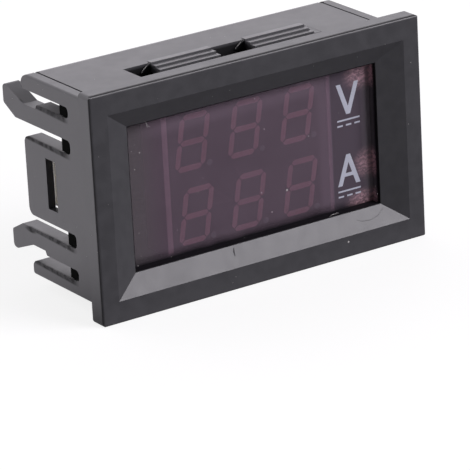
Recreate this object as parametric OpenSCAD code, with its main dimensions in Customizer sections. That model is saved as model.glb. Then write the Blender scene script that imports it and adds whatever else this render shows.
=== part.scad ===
// Panel-mount voltmeter and ammeter with a twin three-digit LED readout.
// X runs to the right as the dial is read, Y runs back into the panel, Z is up.
// The origin is the centre of the bezel's rear face, which seats on the panel.

/* [Bezel] */
// Width of the bezel
bezel_w = 48; // [47.2:0.1:54]
// Height of the bezel
bezel_h = 29; // [28:0.1:34]
// Thickness of the bezel flange in front of the panel
bezel_t = 2.4; // [1.8:0.1:3.5]
// Radius of the bezel's four corners
bezel_corner_r = 0.5; // [0.2:0.1:1.2]
// Radius of the bezel's front edges
bezel_edge_r = 0.3; // [0.1:0.05:0.6]
// Width of the flat rim at the left and right of the sloped recess
rim_side = 2.4; // [1.8:0.1:3]
// Height of the flat rim above and below the sloped recess
rim_top = 2.8; // [1.8:0.1:3.4]
// Depth of the sloped recess
slope_depth = 1.4; // [0.8:0.1:1.7]

/* [Window] */
// Width of the window opening
window_w = 36.4; // [34:0.1:38]
// Height of the window opening
window_h = 18.5; // [17.5:0.1:20]
// Thickness of the tinted filter
filter_t = 1.45; // [1.2:0.05:2.2]
// Gap round the filter's edge
filter_gap = 0.1; // [0.05:0.05:0.2]
// Step from the foot of the slope back to the filter's front
filter_step = 0.05; // [0.02:0.01:0.3]

/* [Body] */
// Width of the body that passes through the panel
body_w = 45.14; // [43:0.1:46]
// Height of the body that passes through the panel
body_h = 26.08; // [25:0.1:27]
// Depth of the body behind the panel seat
body_d = 15.75; // [14:0.1:22]
// Thickness of the side walls and snap arms
side_wall = 2; // [1.4:0.1:2.4]
// Thickness of the top and bottom walls
top_wall = 1.94; // [1.4:0.1:2.2]
// Radius of the body's long edges
body_edge_r = 0.3; // [0.1:0.05:0.6]
// Radius of the top wall's outer rear edge
top_rear_r = 1.6; // [0.5:0.1:1.8]
// Radius of the other rear corners
rear_r = 0.5; // [0.2:0.1:0.8]
// Radius of the centre tab's rear corners
tab_r = 1; // [0.3:0.1:2]
// Depth of the moulded line beside each top edge
groove_d = 0.2; // [0.1:0.05:0.4]
// Width of the moulded line beside each top edge
groove_w = 0.25; // [0.15:0.05:0.5]

/* [Snap arms] */
// Distance from the panel seat to the front ends of the slots
slot_start = 5; // [4:0.1:6]
// Radius of the slots' front corners
slot_r = 0.55; // [0.2:0.05:0.7]
// Height of the centre tab on each side wall
tab_h = 10.2; // [8:0.1:11]
// Height of each slot between the centre tab and a snap arm
inner_slot = 1.77; // [1.2:0.05:2.2]
// Height of each snap arm
arm_h = 2.8; // [2:0.1:3.2]
// Distance from the body's rear edge to the hooks' rear ends
hook_reach = 4.45; // [3:0.05:6]
// Height of the hook's tip above its arm
hook_rise = 1.2; // [0.4:0.1:1.4]
// Radius of the outer edge of each hook's tip
hook_edge_r = 0.6; // [0.3:0.1:1]
// Depth of the notch in front of the hook
saddle_drop = 0.55; // [0.2:0.05:0.9]
// Length of the flat floor of that notch
saddle_l = 2.8; // [1.5:0.1:4]
// Height of the window in the centre tab
tab_window_h = 6.5; // [3:0.1:8]
// Width of the window in the centre tab
tab_window_w = 2.2; // [1:0.1:3]
// Distance from the panel seat to the tab window's front edge
tab_window_y = 8.85; // [8:0.1:11]
// Thickness of the centre tab round its window
tab_window_wall = 1; // [0.8:0.05:1.4]

/* [Ratchet fingers] */
// Distance from the panel seat to the finger openings
finger_y = 3.9; // [3:0.1:4.5]
// Depth of the finger openings
finger_d = 4.05; // [3.4:0.05:4.8]
// Length of each finger across the body
finger_l = 8.8; // [6:0.1:9.5]
// Left end of the left finger
finger_x = -9.9; // [-10.5:0.1:-8]
// Distance from one finger to the next
finger_pitch = 13.8; // [12:0.1:14]
// Clear width to the left of the left finger
finger_clear = 2.8; // [1.5:0.1:4]
// Thickness of each finger at its root
finger_t = 1; // [0.7:0.1:1.4]
// Number of teeth on each finger
tooth_count = 3; // [1:1:4]
// Height of each tooth above the body
tooth_h = 0.25; // [0.1:0.05:0.5]
// Slant of the fingers' ends
finger_slant = 13.5; // [0:0.5:20]
// Gap round each finger's free edges
finger_gap = 0.15; // [0.1:0.05:0.3]

/* [Display] */
// Width of the display block
display_w = 24.9; // [24:0.1:28]
// Height of the display block
display_h = 18.4; // [17:0.1:21]
// Thickness of the printed face of the display
face_t = 0.15; // [0.1:0.05:0.3]
// Width of the pale rim left at each side of the printed face
face_rim = 0.75; // [0.3:0.05:1]
// Height of a digit
digit_h = 7.15; // [5.5:0.05:7.6]
// Width of a digit
digit_w = 4.4; // [3.4:0.1:5]
// Distance from one digit to the next
digit_pitch = 7.7; // [7:0.1:8]
// Distance between the two rows of digits
row_pitch = 9.35; // [8.4:0.05:9.8]
// Width of a segment
segment_w = 0.72; // [0.4:0.02:0.9]
// Gap between the ends of neighbouring segments
segment_gap = 0.16; // [0.08:0.02:0.3]
// Slant of the digits
digit_slant = 10; // [0:1:12]
// Diameter of a decimal point
point_d = 0.8; // [0.5:0.05:1]
// Depth of the segments' light wells
well_d = 1.2; // [0.6:0.1:2]
// Shift of the digits to the left of the display's middle
digit_shift = 0.4; // [0:0.05:0.6]
// Number of pins in each row under the display
display_pin_count = 7; // [4:1:9]

/* [Circuit board] */
// Thickness of the circuit board
board_t = 1.6; // [1:0.1:2]
// Distance from the panel seat to the board's front face
board_y = 5.45; // [5.2:0.05:7]
// Gap between the board's edge and the walls
board_gap = 0.1; // [0.05:0.05:0.3]
// Gap between the display's back and the board
display_gap = 0.3; // [0.1:0.05:0.5]
// Clearance of each board ear in its slot
ear_gap = 0.08; // [0.04:0.02:0.2]
// Distance of the ears' ends inside the outer face of the side wall
ear_inset = 0.12; // [0.05:0.01:0.5]

/* [Sockets] */
// Pin pitch of the supply header
supply_pitch = 2; // [2:0.1:2.6]
// Number of pins of the supply header
supply_pins_n = 3; // [2:1:4]
// Height of the supply header above the board
supply_h = 6.3; // [4.5:0.1:7]
// Depth of the supply header across its row of pins
supply_d = 4.5; // [4:0.1:6]
// Wall of the supply header
supply_wall = 0.6; // [0.4:0.05:0.9]
// Pin pitch of the load header
load_pitch = 3.96; // [3.5:0.02:4.2]
// Height of the load header's locking wall above the board
load_h = 8.4; // [7:0.1:9]
// Depth of the load header across its row of pins
load_d = 7.6; // [6:0.1:8.5]
// Height of the load header's base
load_base_h = 3.2; // [2:0.1:4]
// Thickness of the load header's locking wall
load_wall = 1.1; // [0.8:0.1:1.5]

/* [Trimmers] */
// Side of a trimmer's square base
trimmer_s = 3.4; // [3:0.1:4]
// Height of a trimmer's base
trimmer_h = 1.3; // [1.1:0.1:1.8]
// Radius of a trimmer's turning flange
rotor_r = 1.3; // [1:0.05:1.4]
// Radius of a trimmer's slotted neck
neck_r = 1.05; // [0.8:0.05:1.15]
// Running clearance round a rotor
rotor_gap = 0.05; // [0.02:0.01:0.08]

/* [Shunt] */
// Diameter of the shunt wire
shunt_wire = 1.5; // [1:0.1:2]
// Distance between the shunt's two legs
shunt_span = 10; // [7:0.5:12]
// Height of the shunt above the board
shunt_h = 4; // [3:0.1:6]

/* [Hidden] */
$fn = 32;
cut = 0.5;                                   // how far a cutting solid runs past a face

recess_w = bezel_w - 2 * rim_side;
recess_h = bezel_h - 2 * rim_top;
slope_end = -bezel_t + slope_depth;          // y of the foot of the slope
filter_y = slope_end + filter_step;
filter_back = filter_y + filter_t;
cavity_w = body_w - 2 * side_wall;
cavity_h = body_h - 2 * top_wall;

inner_slot_z = tab_h / 2;                    // lower edge of the inner slot
arm_z = inner_slot_z + inner_slot;           // lower edge of the arm
outer_slot_z = arm_z + arm_h;                // lower edge of the outer slot
rail_z = body_h / 2 - top_wall;              // lower edge of the rail
saddle_z = outer_slot_z - saddle_drop;
hook_y = body_d + hook_reach;
hook_l = hook_reach + 0.1;                   // length of the hook's ramp
saddle_y = hook_y - hook_l - 0.25;           // rear end of the notch's floor
arm_back = saddle_y - saddle_l;
arm_join = slot_start + 1;
tab_recess_y = tab_window_y - 0.85;
tab_recess_h = min(tab_window_h + 2.1, tab_h - 1.2);

finger_root = finger_y + finger_d;
tooth_pitch = finger_d * 0.395;
finger_top = body_h / 2;

display_y = filter_back;
display_back = board_y - display_gap;
board_back = board_y + board_t;
face_w = display_w - 2 * face_rim;
board_w = cavity_w - 2 * board_gap;
board_h = cavity_h - 2 * board_gap;
pin_r = 0.25;
pin_row_z = display_h / 2 - 0.6;
pin_pitch = 2.54;
pin_tail = 1.4;                              // how far a soldered pin stands past the board

header_end = 1.95;                           // from a header's last pin to its end
key_w = 0.9;
key_d = 2.6;
key_inset = 1.6;
supply_l = supply_pitch * (supply_pins_n - 1) + 2 * header_end;
supply_x = -cavity_w / 2 + board_gap + 0.2;  // left face of the supply header
supply_pin_x = supply_x + supply_d / 2 - 0.2;
supply_floor = 1.2;
supply_pin_w = 0.5;
lock_h = 1.4;                                // window in the load header's locking wall
lock_drop = 1.2;
lock_inset = 1.6;
load_inset = 0.6;                            // from the board's edge to the load header
load_l = load_pitch + 2 * header_end;
load_x = board_w / 2 - load_inset - load_d;
load_pin_x = load_x + load_d / 2 + 0.7;
load_pin_w = 1.1;
lead_clear = 0.08;                           // gap between a pin and its hole in the board

shunt_x = load_x - shunt_wire - load_inset;
shunt_bend = shunt_wire * 1.1;
trimmer_inset = 2.9;                         // from the board's edge to the first trimmer
trimmer_pitch = 5.2;
trimmer_x = [trimmer_inset - board_w / 2, trimmer_inset + trimmer_pitch - board_w / 2];
trimmer_z = board_h / 2 - trimmer_inset - 0.1;
flange_t = 0.4;
lip_t = 0.25;
rotor_y = board_back + trimmer_h - lip_t - flange_t;
driver_slot = 0.35;

bay_l = supply_x + supply_d;                 // free stretch of board between the two headers
bay_w = shunt_x - shunt_wire / 2 - bay_l;
micro_body = [6.5, 0.95, 4.4];
micro_lead = [0.22, 1];                      // width and reach of one lead
micro_at = [bay_l + bay_w * 0.44, -1.6];
amp_body = [4.9, 1.4, 3.9];
amp_lead = [0.4, 1.05];
amp_at = [bay_l + bay_w * 0.76, -4.6];
diode_body = [4.2, 2, 2.6];
diode_at = [bay_l + bay_w * 0.14, -3.4];
regulator_body = [4.5, 1.5, 2.5];
regulator_at = [diode_at.x, -board_h / 2 + 2.8];
tab_w = 0.48;                                // width of one regulator lead
capacitor_body = [3.5, 1.8, 2.8];
capacitor_at = [-board_w / 2 + 3.1, -board_h / 2 + 3.6];
resistor_chip = [0.8, 0.45, 1.6];
resistor_pitch = [1.7, 2.3];
resistors_at = [bay_l + bay_w * 0.64, 2.2];
capacitor_chip = [0.8, 0.8, 1.6];
capacitor_pitch = [1.8, 2.2];
capacitors_at = [bay_l + bay_w * 0.13, 1.2];

// An outline from points [x, y, radius], with an arc of that radius at each corner
function unit(v) = v / norm(v);
function corner(p, c, n, steps = 5) =
    let (a = unit([p.x - c.x, p.y - c.y]), b = unit([n.x - c.x, n.y - c.y]), half = acos(a * b) / 2)
    c[2] == 0 ? [[c.x, c.y]] :
    let (
        centre = [c.x, c.y] + unit(a + b) * c[2] / sin(half),
        from = [c.x, c.y] + a * c[2] / tan(half) - centre,
        turn = (a.x * b.y - a.y * b.x) > 0 ? -1 : 1,
        sweep = 180 - 2 * half
    )
    [for (i = [0:steps]) let (t = turn * sweep * i / steps)
        centre + [from.x * cos(t) - from.y * sin(t), from.x * sin(t) + from.y * cos(t)]];
function rounded(points) = let (n = len(points))
    [for (i = [0:n - 1]) each corner(points[(i + n - 1) % n], points[i], points[(i + 1) % n])];

// A plan drawn as seen from the front (X, Z), from y0 back to y1
module along_y(y0, y1) {
    translate([0, y1, 0]) rotate([90, 0, 0]) linear_extrude(y1 - y0) children();
}

// A profile drawn as seen from the side (Y, Z), from x0 to x1
module along_x(x0, x1) {
    translate([x0, 0, 0]) rotate([90, 0, 90]) linear_extrude(x1 - x0) children();
}

module both_sides() {
    children();
    mirror([1, 0, 0]) children();
}

module top_and_bottom() {
    children();
    mirror([0, 0, 1]) children();
}

module centred_box(at, size) {
    translate(at - size / 2) cube(size);
}

module rounded_plan(w, h, r) {
    polygon(rounded([[-w / 2, -h / 2, r], [w / 2, -h / 2, r], [w / 2, h / 2, r], [-w / 2, h / 2, r]]));
}

// Bezel with rounded front edges, from its front face to the panel seat
module bezel_block() {
    r = bezel_edge_r;
    intersection() {
        along_y(-bezel_t, 0) rounded_plan(bezel_w, bezel_h, bezel_corner_r);
        along_x(-bezel_w, bezel_w) polygon(rounded([
            [0, -bezel_h / 2, 0], [0, bezel_h / 2, 0], [-bezel_t, bezel_h / 2, r], [-bezel_t, -bezel_h / 2, r]
        ]));
        translate([0, 0, -bezel_h]) linear_extrude(2 * bezel_h) polygon(rounded([
            [-bezel_w / 2, 0, 0], [-bezel_w / 2, -bezel_t, r], [bezel_w / 2, -bezel_t, r], [bezel_w / 2, 0, 0]
        ]));
    }
}

// Four-sided slope from the rim down to the window opening
module slope_cut() {
    rise = slope_depth / (recess_w - window_w) * 2;
    fall = slope_depth / (recess_h - window_h) * 2;
    intersection() {
        translate([0, 0, -bezel_h]) linear_extrude(2 * bezel_h) polygon([
            [-recess_w / 2 - cut / rise, -bezel_t - cut], [recess_w / 2 + cut / rise, -bezel_t - cut],
            [window_w / 2, slope_end], [-window_w / 2, slope_end]
        ]);
        along_x(-bezel_w, bezel_w) polygon([
            [-bezel_t - cut, -recess_h / 2 - cut / fall], [-bezel_t - cut, recess_h / 2 + cut / fall],
            [slope_end, window_h / 2], [slope_end, -window_h / 2]
        ]);
    }
}

// Side view of the top wall, whose outer rear edge is fully rounded
module wall_profile(outer_r, inner_r) {
    polygon(rounded([
        [0, rail_z, 0], [body_d, rail_z, inner_r], [body_d, body_h / 2, outer_r], [0, body_h / 2, 0]
    ]));
}

// Side view of one snap arm: a straight beam, a notch and a ramped hook
module arm_profile() {
    hook_z = outer_slot_z + hook_rise;
    polygon(rounded([
        [arm_join, arm_z, 0], [hook_y - 2.6, arm_z, 0.5], [hook_y, arm_z + 1.35, 0.35],
        [hook_y, hook_z + 0.1, 0.65], [saddle_y, saddle_z, 0.2], [arm_back, saddle_z, 0.1],
        [arm_back - 0.3, outer_slot_z, 0.1], [arm_join, outer_slot_z, 0]
    ]));
}

module slot_profile(z0, z1) {
    polygon(rounded([
        [slot_start, z0, slot_r], [hook_y + cut, z0, 0], [hook_y + cut, z1, 0], [slot_start, z1, slot_r]
    ]));
}

// Side view of one side wall: front web, centre tab with its window, rails and snap arms
module side_profile() {
    difference() {
        union() {
            translate([0, -rail_z]) square([body_d, 2 * rail_z]);
            translate([0, -rail_z - cut / 4]) square([slot_start + slot_r, 2 * rail_z + cut / 2]);
        }
        for (flip = [0, 1]) mirror([0, flip]) {
            slot_profile(inner_slot_z, arm_z);
            slot_profile(outer_slot_z, rail_z);
            translate([arm_back - 1, inner_slot_z]) square([body_d, rail_z - inner_slot_z]);
            tab_corner();
        }
        translate([tab_window_y, -tab_window_h / 2]) square([tab_window_w, tab_window_h]);
    }
    for (flip = [0, 1]) mirror([0, flip]) arm_profile();
}

// What the rounding takes off a rear corner of the centre tab
module tab_corner() {
    difference() {
        translate([body_d - tab_r, inner_slot_z - tab_r]) square(tab_r + cut);
        translate([body_d - tab_r, inner_slot_z - tab_r]) circle(tab_r);
    }
}

// Opening in the top wall that frees the two fingers
module finger_opening() {
    right = finger_x + finger_pitch + finger_l + finger_d * tan(finger_slant) + finger_gap;
    left = finger_x - finger_clear;
    translate([left, finger_y, rail_z - cut]) cube([right - left, finger_d, top_wall + 2 * cut]);
}

// One finger: rooted at the rear of its opening, with teeth that face the panel
module finger(x) {
    front = finger_y + finger_gap;
    tooth_y = [for (i = [0:tooth_count]) front + i * tooth_pitch];
    rear = max(finger_root, tooth_y[tooth_count]);
    base = finger_top - finger_t;
    intersection() {
        translate([x - finger_y * tan(finger_slant), 0, 0]) rotate([0, 0, -finger_slant])
            along_y(0, 3 * finger_d) translate([0, base])
                square([finger_l * cos(finger_slant), finger_t + tooth_h + cut]);
        along_x(-body_w / 2, body_w / 2) polygon(concat(
            [[rear, base], [front, base]],
            [for (i = [0:tooth_count - 1])
                each [[tooth_y[i], finger_top + tooth_h], [tooth_y[i + 1], finger_top]]],
            [[rear, finger_top]]
        ));
    }
    finger_gusset(x + (finger_d - 0.3) * tan(finger_slant), base);
}

// Thin web in the corner between a finger's left end and its root
module finger_gusset(x, base) {
    along_y(finger_root - 0.25, finger_root + cut / 2)
        polygon([[x - 1.3, base], [x + 0.5, base], [x + 0.5, finger_top], [x, finger_top]]);
}

module top_groove() {
    x = cavity_w / 2 + 0.35;
    translate([x, finger_y, body_h / 2 - groove_d]) cube([groove_w, body_d, groove_d + cut]);
    translate([x - 0.1, body_d - 1.9, body_h / 2 - 2 * groove_d])
        cube([groove_w + 0.2, 2, 2 * groove_d + cut]);
}

// Recess inside the centre tab, open to the rear, that leaves its window in a thin wall
module tab_recess() {
    along_x(cavity_w / 2 - cut, body_w / 2 - tab_window_wall)
        translate([tab_recess_y, -tab_recess_h / 2]) square([body_d, tab_recess_h]);
}

// What the rounding takes off the outer edge of a hook's tip
module hook_edge() {
    top = outer_slot_z + hook_rise + 0.1;
    along_y(saddle_y, hook_y + cut) translate([body_w / 2 - hook_edge_r, top - hook_edge_r]) difference() {
        square(hook_edge_r + cut);
        circle(hook_edge_r);
    }
}

module housing() {
    color("#4a4a4d") difference() {
        union() {
            bezel_block();
            intersection() {
                union() {
                    along_y(-cut / 2, filter_back) square([body_w, body_h], center = true);
                    along_x(-body_w / 2, body_w / 2) {
                        wall_profile(top_rear_r, rear_r / 2);
                        mirror([0, 1]) wall_profile(rear_r, 2 * rear_r - 0.1);
                    }
                    both_sides() along_x(cavity_w / 2, body_w / 2) side_profile();
                }
                along_y(-cut, hook_y + cut) rounded_plan(body_w, body_h, body_edge_r);
            }
        }
        slope_cut();
        along_y(slope_end - cut / 10, filter_back + cut) square([window_w, window_h], center = true);
        top_and_bottom() finger_opening();
        both_sides() {
            top_groove();
            tab_recess();
            top_and_bottom() hook_edge();
        }
    }
    color("#4a4a4d") top_and_bottom() for (i = [0, 1]) finger(finger_x + i * finger_pitch);
}

module filter_window() {
    size = [window_w - 2 * filter_gap, filter_t, window_h - 2 * filter_gap];
    color("#3a2c33", 0.8) centred_box([0, filter_y + filter_t / 2, 0], size);
}

// Places of the seven segments: [x, z, lies along X]
segment_x = (digit_w - segment_w) / 2;
segment_z = (digit_h - segment_w) / 2;
SEGMENTS = [
    [0, segment_z, 1], [0, 0, 1], [0, -segment_z, 1],
    [-segment_x, segment_z / 2, 0], [segment_x, segment_z / 2, 0],
    [-segment_x, -segment_z / 2, 0], [segment_x, -segment_z / 2, 0]
];

// A segment slanted with its digit: every point moves right by its height times the slant
function slanted(points, centre) =
    [for (p = points) [centre.x + p.x + p.y * tan(digit_slant), centre.y + p.y]];

// The outline of a six-sided bar, lying along X when level
function bar(l, level) = let (w = segment_w / 2, h = l / 2)
    [for (p = [[-h, 0], [-h + w, w], [h - w, w], [h, 0], [h - w, -w], [-h + w, -w]])
        level ? p : [p.y, p.x]];
function segment_points(s) = let (l = (s[2] ? 2 * segment_x : segment_z) - segment_gap)
    [for (p = bar(l, s[2])) [s.x + p.x, s.y + p.y]];

module digit(centre) {
    for (s = SEGMENTS) polygon(slanted(segment_points(s), centre));
    translate(centre + [digit_w / 2 + 0.75 - digit_h / 2 * tan(digit_slant), -digit_h / 2 + point_d / 2])
        circle(d = point_d);
}

module all_digits() {
    for (row = [-0.5, 0.5], column = [-1:1])
        digit([column * digit_pitch - digit_shift, row * row_pitch]);
}

module display_segments() {
    color("#8d7a84") along_y(display_y, display_y + face_t + well_d) all_digits();
}

module display_face() {
    color("#3b3439") along_y(display_y, display_y + face_t) difference() {
        square([face_w, display_h], center = true);
        all_digits();
    }
}

module display_case() {
    color("#8a8286") difference() {
        along_y(display_y, display_back) square([display_w, display_h], center = true);
        along_y(display_y - cut, display_y + face_t) square([face_w, display_h + cut], center = true);
        along_y(display_y - cut, display_y + face_t + well_d) all_digits();
    }
}

display_pin_at = [for (row = [-1, 1], i = [0:display_pin_count - 1])
    [(i - (display_pin_count - 1) / 2) * pin_pitch, row * pin_row_z]];
supply_pin_at = [for (i = [0:supply_pins_n - 1])
    [supply_pin_x, (i - (supply_pins_n - 1) / 2) * supply_pitch]];
load_pin_at = [for (i = [-0.5, 0.5]) [load_pin_x, i * load_pitch]];
shunt_leg_at = [for (i = [-0.5, 0.5]) [shunt_x, i * shunt_span]];

module round_pin(at, r, y0, y1) {
    translate([at.x, y1, at.y]) rotate([90, 0, 0]) cylinder(r = r, h = y1 - y0);
}

module display_pins() {
    color("#c9c9c4") for (at = display_pin_at) round_pin(at, pin_r, display_back, board_back + pin_tail);
}

// Board outline: the cavity's plan with an ear in each slot
module board_plan() {
    square([board_w, board_h], center = true);
    for (flip = [0, 1]) mirror([0, flip]) {
        ear(inner_slot_z, arm_z);
        ear(outer_slot_z, rail_z);
    }
}

module ear(z0, z1) {
    reach = body_w / 2 - ear_inset;
    translate([-reach, z0 + ear_gap]) square([2 * reach, z1 - z0 - 2 * ear_gap]);
}

module circuit_board() {
    color("#1f2a22") difference() {
        along_y(board_y, board_back) board_plan();
        for (at = display_pin_at) round_pin(at, pin_r + lead_clear, board_y - cut, board_back + cut);
        for (at = supply_pin_at) round_pin(at, supply_pin_w * 0.75, board_y - cut, board_back + cut);
        for (at = load_pin_at) round_pin(at, load_pin_w * 0.75, board_y - cut, board_back + cut);
        for (at = shunt_leg_at) round_pin(at, shunt_wire / 2 + lead_clear, board_y - cut, board_back + cut);
    }
}

// Shrouded header with two keying slots in its right wall
module supply_header() {
    top = board_back + supply_h;
    well_w = supply_d - 2 * supply_wall;
    well_l = supply_l - 2 * supply_wall;
    color("#e9e6dc") difference() {
        along_y(board_back, top) translate([supply_x, -supply_l / 2]) square([supply_d, supply_l]);
        along_y(board_back + supply_floor, top + cut)
            translate([supply_x + supply_wall, -well_l / 2]) square([well_w, well_l]);
        for (side = [-1, 1])
            centred_box([supply_x + supply_d, top, side * (supply_l / 2 - key_inset)],
                        [2 * supply_wall + 1, 2 * key_d, key_w]);
        for (at = supply_pin_at) square_pin(at, supply_pin_w, board_back - cut, top);
    }
}

module square_pin(at, w, y0, y1) {
    centred_box([at.x, (y0 + y1) / 2, at.y], [w, y1 - y0, w]);
}

module supply_pins() {
    color("#c9c9c4") for (at = supply_pin_at)
        square_pin(at, supply_pin_w, board_y - 0.9, board_back + supply_h - 1.1);
}

// Open header: a base with a tall locking wall behind its two pins
module load_header() {
    color("#e9e6dc") difference() {
        along_y(board_back, board_back + load_h) translate([load_x, -load_l / 2]) square([load_d, load_l]);
        along_y(board_back + load_base_h, board_back + load_h + cut)
            translate([load_x + load_wall, -load_l / 2 - cut]) square([load_d, load_l + 2 * cut]);
        along_y(board_back + load_h - lock_drop - lock_h, board_back + load_h - lock_drop)
            translate([load_x - cut, -load_l / 2 + lock_inset])
                square([load_wall + 2 * cut, load_l - 2 * lock_inset]);
        for (at = load_pin_at) square_pin(at, load_pin_w, board_back - cut, board_back + load_h);
    }
}

module load_pins() {
    color("#c9c9c4") for (at = load_pin_at)
        square_pin(at, load_pin_w, board_y - 0.9, board_back + load_h - 1);
}

// Bent resistance wire that carries the measured current
module current_shunt() {
    r = shunt_wire / 2;
    top = board_back + shunt_h - r;
    half = shunt_span / 2;
    color("#b08a5c") {
        for (at = shunt_leg_at) round_pin(at, r, board_y, top - shunt_bend);
        top_and_bottom() translate([shunt_x, top - shunt_bend, half - shunt_bend])
            rotate([0, 90, 0]) rotate([0, 0, 90]) rotate_extrude(angle = 90)
                translate([shunt_bend, 0]) circle(r);
        translate([shunt_x, top, -half + shunt_bend]) cylinder(r = r, h = 2 * (half - shunt_bend));
    }
}

// A row of bent leads on each long side of a chip, drawn along X
module chip_leads(at, body, count, lead) {
    t = 0.15;
    pitch = body.x / count;
    lead_w = lead[0];
    reach = lead[1];
    mid = board_back + 0.1 + body.y / 2;
    half = body.z / 2;
    for (side = [-1, 1], i = [0:count - 1])
        translate([at.x + (i - (count - 1) / 2) * pitch, 0, at.y]) mirror([0, 0, side < 0 ? 1 : 0])
            along_x(-lead_w / 2, lead_w / 2) polygon([
                [mid - t / 2, half], [mid + t / 2, half], [mid + t / 2, half + reach * 0.45],
                [board_back + t, half + reach * 0.6], [board_back + t, half + reach],
                [board_back, half + reach], [board_back, half + reach * 0.6 - t],
                [mid - t / 2, half + reach * 0.45 - t]
            ]);
}

// A moulded chip package: x and z in plan, y in height, with drafted sides and a dimple
module chip_body(at, body) {
    y0 = board_back + 0.1;
    mid = y0 + body.y / 2;
    draft = 0.12;
    difference() {
        intersection() {
            along_x(at.x - body.x / 2, at.x + body.x / 2) translate([0, at.y]) polygon([
                [y0, -body.z / 2 + draft], [mid, -body.z / 2], [y0 + body.y, -body.z / 2 + draft],
                [y0 + body.y, body.z / 2 - draft], [mid, body.z / 2], [y0, body.z / 2 - draft]
            ]);
            translate([at.x, 0, at.y - body.z]) linear_extrude(2 * body.z) polygon([
                [-body.x / 2 + draft, y0], [-body.x / 2, mid], [-body.x / 2 + draft, y0 + body.y],
                [body.x / 2 - draft, y0 + body.y], [body.x / 2, mid], [body.x / 2 - draft, y0]
            ]);
        }
        round_pin(at + [-body.x / 2 + 0.8, -body.z / 2 + 0.8], 0.3, y0 + body.y - 0.08, y0 + body.y + cut);
    }
}

module microcontroller() {
    color("#1b1b1c") chip_body(micro_at, micro_body);
}

module microcontroller_leads() {
    color("#c9c9c4") chip_leads(micro_at, micro_body, 10, micro_lead);
}

module amplifier() {
    color("#1b1b1c") chip_body(amp_at, amp_body);
}

module amplifier_leads() {
    color("#c9c9c4") chip_leads(amp_at, amp_body, 4, amp_lead);
}

module voltage_regulator() {
    centre = [regulator_at.x, board_back + 0.1 + regulator_body.y / 2, regulator_at.y];
    color("#1b1b1c") centred_box(centre, regulator_body);
}

module regulator_leads() {
    reach = regulator_body.z / 2 + 0.8;
    color("#c9c9c4") {
        for (i = [-1:1])
            along_y(board_back, board_back + 0.1)
                translate(regulator_at + [i * regulator_body.x / 3 - tab_w / 2, -reach])
                    square([tab_w, reach]);
        along_y(board_back, board_back + 0.1)
            translate(regulator_at - [tab_w * 1.75, 0]) square([tab_w * 3.5, reach]);
    }
}

// A moulded two-terminal chip with folded end straps
module moulded_chip(at, size) {
    strap = size.x * 0.14;
    centred_box([at.x, board_back + 0.1 + size.y / 2, at.y], size);
    centred_box([at.x, board_back + 0.1 + size.y / 4, at.y],
                [size.x + 2 * strap, size.y / 2 + 0.2, size.z * 0.7]);
}

module input_capacitor() {
    color("#c98b2e") moulded_chip(capacitor_at, capacitor_body);
}

module protection_diode() {
    color("#1b1b1c") moulded_chip(diode_at, diode_body);
}

// A grid of small chips that lie on the board
module chip_grid(at, columns, rows, pitch, size) {
    for (i = [0:columns - 1], j = [0:rows - 1])
        translate([at.x + i * pitch.x, board_back, at.y + j * pitch.y]) cube(size);
}

module chip_resistors() {
    color("#232326") {
        chip_grid(resistors_at, 4, 2, resistor_pitch, resistor_chip);
        chip_grid(micro_at + [-2.4, micro_body.z / 2 + 1.4], 2, 1, resistor_pitch, resistor_chip);
    }
}

module chip_capacitors() {
    color("#b59a78") {
        chip_grid(capacitors_at, 2, 2, capacitor_pitch, capacitor_chip);
        chip_grid(micro_at - [0.8, micro_body.z / 2 + 3.4], 2, 1, capacitor_pitch, capacitor_chip);
    }
}

// Square base with an undercut seat, closed by a lip over the rotor's flange
module trimmer_base(x) {
    at = [x, trimmer_z];
    difference() {
        along_y(board_back, board_back + trimmer_h) translate(at) square(trimmer_s, center = true);
        round_pin(at, rotor_r + rotor_gap, rotor_y, rotor_y + flange_t + rotor_gap);
        round_pin(at, neck_r + rotor_gap, rotor_y, board_back + trimmer_h + cut);
    }
}

// Flanged rotor with a cross slot for a screwdriver
module trimmer_rotor(x) {
    at = [x, trimmer_z];
    top = board_back + trimmer_h + 0.15;
    difference() {
        union() {
            round_pin(at, rotor_r, rotor_y, rotor_y + flange_t);
            round_pin(at, neck_r, rotor_y, top);
        }
        for (size = [[1.5, 0.6, driver_slot], [driver_slot, 0.6, 1.5]])
            centred_box([at.x, top, at.y], size);
    }
}

module volt_trimmer_base() {
    color("#d8d2c0") trimmer_base(trimmer_x[0]);
}

module volt_trimmer_rotor() {
    color("#c2a14d") trimmer_rotor(trimmer_x[0]);
}

module amp_trimmer_base() {
    color("#d8d2c0") trimmer_base(trimmer_x[1]);
}

module amp_trimmer_rotor() {
    color("#c2a14d") trimmer_rotor(trimmer_x[1]);
}

housing();
filter_window();
display_case();
display_face();
display_segments();
display_pins();
circuit_board();
supply_header();
supply_pins();
load_header();
load_pins();
current_shunt();
microcontroller();
microcontroller_leads();
amplifier();
amplifier_leads();
voltage_regulator();
regulator_leads();
input_capacitor();
protection_diode();
chip_resistors();
chip_capacitors();
volt_trimmer_base();
volt_trimmer_rotor();
amp_trimmer_base();
amp_trimmer_rotor();
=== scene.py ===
"""Looks for a snap-in digital panel meter: finishes, printed unit signs, solder, dust and a plain studio."""

import functools
import math
import random

import bmesh
import bpy
from mathutils import Euler, Matrix, Vector


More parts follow.
